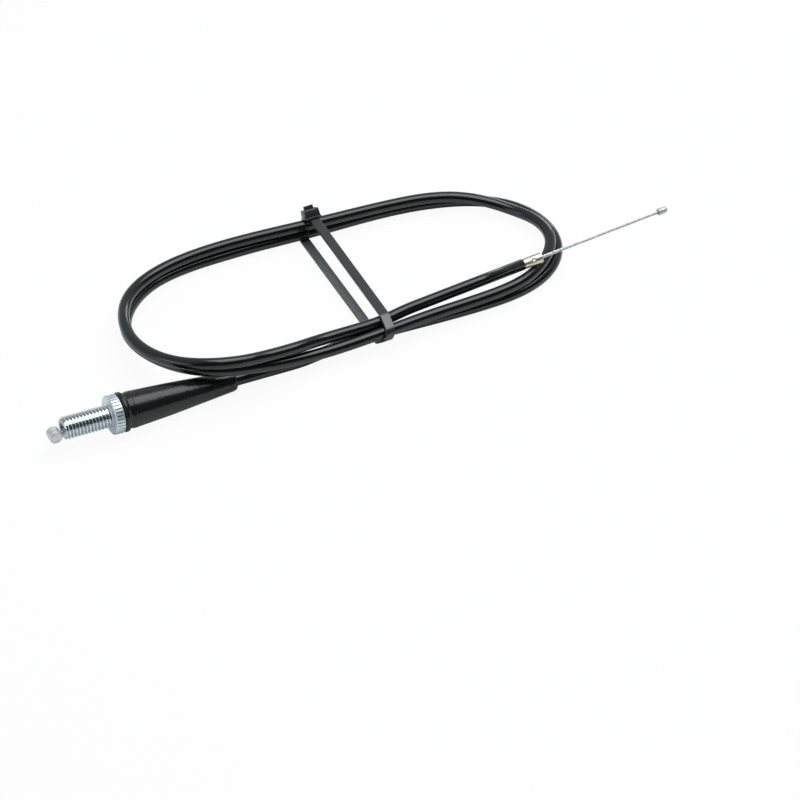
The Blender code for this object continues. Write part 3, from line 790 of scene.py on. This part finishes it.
def add_nipple(mat):
    """Cast barrel across the wire, with a seam round its middle, a dished end and a socket for the wire."""
    half = NIPPLE_LENGTH / 2.0
    seam = NIPPLE_RADIUS - NIPPLE_SEAM
    nipple = turned("crosswise_nipple", [
        (0.0, half - 0.12), (1.55, half - 0.12), (1.7, half), (2.4, half), (NIPPLE_RADIUS, half - 0.35),
        (NIPPLE_RADIUS, 0.55), (seam, 0.42), (seam, 0.2), (NIPPLE_RADIUS, 0.08),
        (NIPPLE_RADIUS, -half + 0.35), (2.4, -half), (1.7, -half), (1.55, -half + 0.12), (0.0, -half + 0.12)],
        NIPPLE_SIDES, closed=False)
    middle = Vector((*NIPPLE_DROOP, NIPPLE_CENTRE)) * MM
    nipple.data.transform(Matrix.Translation(middle) @ Matrix.Rotation(math.radians(90.0), 4, "Y"))
    socket = turned("socket", [
        (0.0, 0.2), (NIPPLE_HOLE, 0.2), (NIPPLE_HOLE, 0.25 - NIPPLE_RADIUS),
        (NIPPLE_HOLE + 0.35, -NIPPLE_RADIUS - 0.3), (0.0, -NIPPLE_RADIUS - 0.3)],
        NIPPLE_HOLE_SIDES, closed=False)
    socket.data.transform(Matrix.Translation(middle))
    boolean(nipple, socket, "DIFFERENCE")
    return finished(nipple, THROTTLE_PLACE, mat, "throttle_end", ["throttle_nipple"])


def droop(wire):
    """Bend the wire off its axis in the fitting's mouth, as the nipple's weight does."""
    start = MOUTH - MOUTH_DEPTH
    reach = MOUTH_DEPTH + NIPPLE_STANDOFF - NIPPLE_RADIUS
    for vertex in wire.data.vertices:
        share = max(0.0, min(1.0, (vertex.co.z / MM - start) / reach))
        share = share * share * (3.0 - 2.0 * share)
        vertex.co += Vector((*NIPPLE_DROOP, 0.0)) * MM * share


def add_wire(name, start, end, place, mat, body, node, bend=None):
    """A stranded wire: one outer strand swept up a helix, copied round, on a plain core."""
    length = end - start
    pick_none()
    bpy.ops.mesh.primitive_circle_add(vertices=STRAND_SIDES, radius=STRAND_RADIUS * MM, fill_type="NOTHING",
                                      rotation=(STRAND_TILT, 0.0, 0.0),
                                      location=((WIRE_RADIUS - STRAND_RADIUS) * MM, 0.0, start * MM))
    strand = bpy.context.active_object
    bpy.ops.object.transform_apply(location=True, rotation=True)
    strand.name = name
    sweep = strand.modifiers.new("lay", "SCREW")
    sweep.axis = "Z"
    sweep.angle = FULL_TURN * length / STRAND_LAY
    sweep.screw_offset = length * MM
    sweep.steps = int(length / STRAND_LAY * STEPS_PER_LAY)
    sweep.render_steps = sweep.steps
    apply(strand, sweep)
    edit(strand)
    choose_all()
    bpy.ops.mesh.fill_holes(sides=0)
    choose_all()
    bpy.ops.mesh.normals_make_consistent(inside=False)
    leave()
    ring = [strand]
    for k in range(1, STRANDS):
        pick(strand)
        bpy.ops.object.duplicate()
        copy = bpy.context.active_object
        copy.data.transform(Matrix.Rotation(FULL_TURN * k / STRANDS, 4, "Z"))
        ring.append(copy)
    core_radius = WIRE_RADIUS - 2.0 * STRAND_RADIUS + 0.02
    side = [(core_radius, end - length * k / CORE_LEVELS) for k in range(CORE_LEVELS + 1)]
    ring.append(turned("core", [(0.0, end), *side, (0.0, start)], CORE_SIDES, closed=False))
    pick(*ring[1:], strand)
    bpy.ops.object.join()
    if bend:
        bend(strand)
    return finished(strand, place, mat, body, [node], angle=60.0)


def add_ferrule(mat):
    """Thin metal ferrule with a rolled front edge and round crimps pressed into its side."""
    end = FERRULE_START + FERRULE_LENGTH
    side = [(FERRULE_RADIUS, end - 0.45 - (FERRULE_LENGTH - 0.7) * k / FERRULE_LEVELS)
            for k in range(FERRULE_LEVELS + 1)]
    ferrule = turned("crimped_ferrule", [
        (FERRULE_HOLE, end - 0.1), (FERRULE_HOLE + 0.15, end), (FERRULE_RADIUS - 0.4, end),
        (FERRULE_RADIUS - 0.1, end - 0.13), *side, (FERRULE_RADIUS - 0.05, FERRULE_START),
        (FERRULE_BORE, FERRULE_START), (FERRULE_BORE, end - FERRULE_FACE),
        (FERRULE_HOLE, end - FERRULE_FACE)], FERRULE_SIDES)
    for turn in CRIMP_TURNS:
        press_crimp(ferrule, math.radians(turn), FERRULE_START + FERRULE_LENGTH * 0.5)
    return finished(ferrule, CARB_PLACE, mat, "conduit", ["carb_ferrule"], angle=40.0)


def press_crimp(ferrule, turn, along):
    """Push the outer side in round a point, deepest at its middle. The bore keeps its shape."""
    middle = Vector((FERRULE_RADIUS * math.cos(turn), FERRULE_RADIUS * math.sin(turn), along)) * MM
    for vertex in ferrule.data.vertices:
        across = Vector((vertex.co.x, vertex.co.y, 0.0))
        if across.length < OUTSIDE_SHARE * FERRULE_RADIUS * MM:
            continue
        away = (vertex.co - middle).length / (CRIMP_RADIUS * MM)
        if away < 1.0:
            vertex.co -= across.normalized() * CRIMP_DEPTH * MM * (1.0 - away * away) ** CRIMP_POWER


def add_barrel(mat):
    """Small cast barrel with a domed end, a waist and a wider collar where the wire goes in."""
    start = BARREL_END - BARREL_LENGTH
    barrel = turned("wire_end_barrel", [
        (0.0, BARREL_END), (0.6, BARREL_END - 0.06), (1.1, BARREL_END - 0.22), (1.38, BARREL_END - 0.48),
        (BARREL_RADIUS, BARREL_END - 0.85), (BARREL_RADIUS, start + 1.5), (1.42, start + 1.35),
        (1.6, start + 1.15), (BARREL_COLLAR, start + 0.95), (BARREL_COLLAR, start + 0.25),
        (BARREL_RADIUS, start), (BARREL_HOLE, start), (BARREL_HOLE, BARREL_END - 1.0),
        (0.0, BARREL_END - 1.0)], BARREL_SIDES, closed=False)
    return finished(barrel, CARB_PLACE, mat, "carb_end", ["carb_barrel"], angle=40.0)


# Tie

def tie_circles():
    first, second, third = coil_laps()
    bottom = [lap[TIE_BOTTOM_INDEX][1:] for lap in (first, second, third)]
    top = [lap[TIE_TOP_INDEX][1:] for lap in (first, second)]
    return [tuple(c) for c in bottom + top]


def loop_outline():
    """The tight loop round the strands at the tie's clearance, as evenly spaced (y, z) points."""
    radius = SHEATH_RADIUS + TIE_CLEARANCE
    cloud = []
    for y, z in tie_circles():
        for k in range(LOOP_CORNERS):
            angle = FULL_TURN * k / LOOP_CORNERS
            cloud.append((y + radius * math.cos(angle), z + radius * math.sin(angle)))
    cloud.sort()
    hull = []
    for row in (cloud, cloud[::-1]):
        half = []
        for point in row:
            while len(half) > 1 and bends_in(half[-2], half[-1], point):
                half.pop()
            half.append(point)
        hull += half[:-1]
    hull = np.array(hull + hull[:1])
    steps = np.linalg.norm(np.diff(hull, axis=0), axis=1)
    places = np.concatenate([[0.0], np.cumsum(steps)])
    count = 2 * int(places[-1] / TOOTH_STEP / 2.0)
    even = np.arange(count) * places[-1] / count
    return np.stack([np.interp(even, places, hull[:, 0]), np.interp(even, places, hull[:, 1])], axis=1)


def bends_in(first, second, third):
    """Whether the turn at the second point isn't outward, so that the tight loop leaves it out."""
    return ((second[0] - first[0]) * (third[1] - first[1])
            - (second[1] - first[1]) * (third[0] - first[0])) <= 1e-9


def add_strap(outline):
    """The strap's loop: a ring drawn round the strands, widened and thickened."""
    pick_none()
    bpy.ops.mesh.primitive_circle_add(vertices=len(outline), radius=MM)
    strap = bpy.context.active_object
    strap.name = "cable_tie"
    for vertex, (y, z) in zip(strap.data.vertices, outline):
        vertex.co = Vector((-TIE_WIDTH / 2.0, y, z)) * MM
    edit(strap, "EDGE")
    choose_all()
    for before, after in zip(TIE_ROWS, TIE_ROWS[1:]):
        bpy.ops.mesh.extrude_region_move(TRANSFORM_OT_translate={"value": ((after - before) * MM, 0.0, 0.0)})
    choose_all()
    bpy.ops.mesh.normals_make_consistent(inside=False)
    leave()
    wall = strap.modifiers.new("wall", "SOLIDIFY")
    wall.thickness = TIE_THICKNESS * MM
    wall.offset = 1.0
    apply(strap, wall)
    return strap


def tooth_strap(strap, outline):
    """Press every other step of the inner side's middle outward, which leaves teeth between two plain rails.

    The first half of the strap's vertices is its outer side. The second half is its inner side."""
    half = len(strap.data.vertices) // 2
    # The toothed side's mask, where the nylon's material paints a lighter sheen.
    side = strap.data.attributes.new("toothed_side", "FLOAT", "POINT")
    side.data.foreach_set("value", [0.0] * half + [1.0] * half)
    for outer, inner in zip(strap.data.vertices[:half], strap.data.vertices[half:]):
        steps = np.linalg.norm(outline - np.array((inner.co.y, inner.co.z)) / MM, axis=1)
        if abs(inner.co.x) < (TIE_WIDTH / 2.0 - TIE_RAIL) * MM and int(steps.argmin()) % 2:
            inner.co += (outer.co - inner.co) * TOOTH_SHARE


def lean_strap(strap):
    """Turn and lean the loop as it lies round the strands. Its upper run's far end stands a little aside."""
    strap.data.transform(Matrix((
        (1, TIE_TURN, TIE_SHEAR, (TIE_MIDDLE - TIE_SHEAR * LAP_SPACING) * MM),
        (0, 1, 0, 0),
        (0, 0, 1, 0),
        (0, 0, 0, 1))))
    near, far = tie_circles()[0], tie_circles()[-1]
    for vertex in strap.data.vertices:
        share_far = (vertex.co.y / MM - near[0]) / (far[0] - near[0])
        share_high = (vertex.co.z / MM - near[1]) / (far[1] - near[1])
        vertex.co.x += TIE_TWIST * MM * min(1.0, max(0.0, share_far)) * min(1.0, max(0.0, share_high))


def add_tie(mat):
    outline = loop_outline()
    strap = add_strap(outline)
    tooth_strap(strap, outline)
    bevel = strap.modifiers.new("edges", "BEVEL")
    bevel.width = TIE_EDGE * MM
    bevel.segments = 2
    bevel.limit_method = "ANGLE"
    bevel.angle_limit = math.radians(60.0)
    apply(strap, bevel)
    lean_strap(strap)
    pick(add_tie_head(), strap)
    bpy.ops.object.join()
    return finished(strap, Matrix.Identity(4), mat, "conduit", ["coil_tie"], angle=35.0)


def add_tie_head():
    """The tilted head on the far strands: a foot, a tapered box with a window, the strap's cut end in it."""
    top_y, top_z = tie_circles()[-1]
    seat = top_z + SHEATH_RADIUS + TIE_CLEARANCE
    head_x = TIE_MIDDLE + TIE_TURN * top_y + TIE_SHEAR * (seat - LAP_SPACING)
    pick_none()
    bpy.ops.mesh.primitive_cube_add(size=MM, location=(0.0, 0.0, HEAD_HEIGHT / 2.0 * MM),
                                    scale=(HEAD_WIDTH, HEAD_LENGTH, HEAD_HEIGHT))
    head = bpy.context.active_object
    bpy.ops.object.transform_apply(location=True, scale=True)
    head.name = "tie_head"
    roof = (HEAD_HEIGHT - 0.05) * MM
    edit(head)
    choose(head, lambda v: v.co.z > roof)
    bpy.ops.transform.resize(value=(HEAD_TAPER, HEAD_TAPER, 1.0),
                             center_override=(0.0, 0.0, HEAD_HEIGHT * MM))
    choose_all()
    bpy.ops.mesh.bevel(offset=HEAD_ROUNDING * MM, segments=2)
    bpy.ops.mesh.select_mode(type="FACE")
    bpy.ops.mesh.select_all(action="DESELECT")
    choose(head, lambda f: f.normal.z > 0.99 and f.calc_center_median().z > roof, "faces")
    bpy.ops.mesh.inset(thickness=WINDOW_FRAME * MM)
    bpy.ops.transform.resize(value=(1.0, WINDOW_SHARE, 1.0),
                             center_override=(0.0, STUB_BACK * MM, HEAD_HEIGHT * MM))
    bpy.ops.mesh.extrude_region_move(TRANSFORM_OT_translate={"value": (0.0, 0.0, -WINDOW_DEPTH * MM)})
    leave()
    foot = block(middle=(0.0, 0.2, 0.35), size=(HEAD_WIDTH + 0.2, HEAD_LENGTH + 1.0, 1.1), rounding=0.3)
    stub_length = STUB_HEIGHT + STUB_SUNK
    stub = block(middle=(0.0, STUB_BACK, HEAD_HEIGHT - STUB_SUNK + stub_length / 2.0),
                 size=(STUB_WIDTH, TIE_THICKNESS, stub_length), rounding=0.12)
    pick(foot, stub, head)
    bpy.ops.object.join()
    place = Vector((head_x + HEAD_SHIFT, top_y, seat)) * MM
    head.data.transform(Matrix.Translation(place) @ Matrix.Rotation(HEAD_TILT, 4, "X"))
    return head


def block(middle, size, rounding):
    """A box with rounded edges."""
    pick_none()
    bpy.ops.mesh.primitive_cube_add(size=MM, location=Vector(middle) * MM, scale=size)
    box = bpy.context.active_object
    bpy.ops.object.transform_apply(location=True, scale=True)
    edit(box, "EDGE")
    choose_all()
    bpy.ops.mesh.bevel(offset=rounding * MM, segments=2)
    leave()
    return box


# Floor and light

def add_floor():
    """A pale floor that shows white to the camera and in reflections, and keeps the object's shadow."""
    pick_none()
    bpy.ops.mesh.primitive_plane_add(size=FLOOR_SIDE, location=(0.0, 0.0, -FLOOR_DROP))
    floor = bpy.context.active_object
    floor.name = "floor"
    mat, tree, shader = new_material("floor_white", 0.0, 0.9, 0.1)
    shader.inputs["Base Color"].default_value = (0.86, 0.86, 0.86, 1.0)
    white = tree.nodes.new("ShaderNodeEmission")
    path = tree.nodes.new("ShaderNodeLightPath")
    mirrored = calculate(tree, "MULTIPLY", path.outputs["Is Glossy Ray"], FLOOR_SHARE_MIRRORED)
    seen = calculate(tree, "MULTIPLY_ADD", path.outputs["Is Camera Ray"], FLOOR_SHARE_SEEN, mirrored)
    mix_surfaces(tree, seen, shader.outputs["BSDF"], white.outputs["Emission"], "Material Output")
    floor.data.materials.append(mat)


def add_world():
    """White to the camera. The light is a pale far side and a dim near side, as in a small studio."""
    world = bpy.data.worlds.new("studio")
    bpy.context.scene.world = world
    world.use_nodes = True
    tree = world.node_tree
    soft = tree.nodes["Background"]
    soft.inputs["Color"].default_value = (0.93, 0.97, 1.0, 1.0)
    side = tree.nodes.new("ShaderNodeTexCoord")
    split = tree.nodes.new("ShaderNodeSeparateXYZ")
    tree.links.new(side.outputs["Generated"], split.inputs["Vector"])
    level = spread(tree, split.outputs["Y"], NEAR_LEVEL, FAR_LEVEL, NEAR_START, FAR_START)
    tree.links.new(level, soft.inputs["Strength"])
    white = tree.nodes.new("ShaderNodeBackground")
    white.inputs["Color"].default_value = (1.0, 1.0, 1.0, 1.0)
    path = tree.nodes.new("ShaderNodeLightPath")
    mix_surfaces(tree, path.outputs["Is Camera Ray"], soft.outputs["Background"], white.outputs["Background"],
                 "World Output")


def add_lamp(name, place, aim, size, power, colour=(1.0, 1.0, 1.0)):
    """An area lamp at a place, turned to its aim. Places and sizes are in metres, the power in watts."""
    data = bpy.data.lights.new(name, "AREA")
    data.shape = "RECTANGLE"
    data.size, data.size_y = size
    data.energy = power
    data.color = colour
    lamp = bpy.data.objects.new(name, data)
    bpy.context.scene.collection.objects.link(lamp)
    lamp.location = place
    lamp.rotation_mode = "QUATERNION"
    lamp.rotation_quaternion = (Vector(aim) - Vector(place)).to_track_quat("-Z", "Y")


def main():
    add_camera()
    bpy.context.scene.view_settings.view_transform = "Standard"

    sheath, length = add_sheath(jacket_vinyl())
    add_fitting(zinc_plate())
    add_boot(boot_rubber())
    add_nipple(cast_zinc("nipple_zinc", THROTTLE_PLACE, (0.84, 0.86, 0.86)))
    steel = wire_steel("wire_strands", (0.8, 0.83, 0.84))
    add_wire("throttle_strands", THROTTLE_WIRE_START, THROTTLE_WIRE_END, THROTTLE_PLACE, steel,
             "throttle_end", "throttle_wire", bend=droop)
    ferrule = add_ferrule(nickel_plate())
    add_wire("carb_strands", CARB_WIRE_START, CARB_WIRE_END, CARB_PLACE, steel, "carb_end", "carb_wire")
    add_barrel(cast_zinc("barrel_zinc", CARB_PLACE, (0.62, 0.64, 0.65)))
    add_tie(tie_nylon())

    inside = {
        "conduit_end_cap": wire_steel("cap_steel", (0.6, 0.6, 0.58)),
        "conduit_spiral": wire_steel("spiral_steel", (0.5, 0.5, 0.5)),
        "conduit_liner": liner_plastic(),
        "inner_wire": steel}
    for name, mat in inside.items():
        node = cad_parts[name]
        node.data.materials.clear()
        node.data.materials.append(mat)

    add_floor()
    add_world()
    add_lamp("top_light", place=(0.3, -0.05, 0.8), aim=(0.3, -0.05, 0.0), size=(1.0, 0.72), power=7.1,
             colour=(0.97, 0.99, 1.0))
    add_lamp("left_light", place=(-1.1, 0.0, 0.3), aim=(0.0, 0.0, 0.0), size=(0.7, 0.4), power=1.1)
    add_lamp("side_light", place=(0.85, 0.78, 0.22), aim=(0.05, 0.0, 0.0), size=(0.3, 0.25), power=0.7)


main()
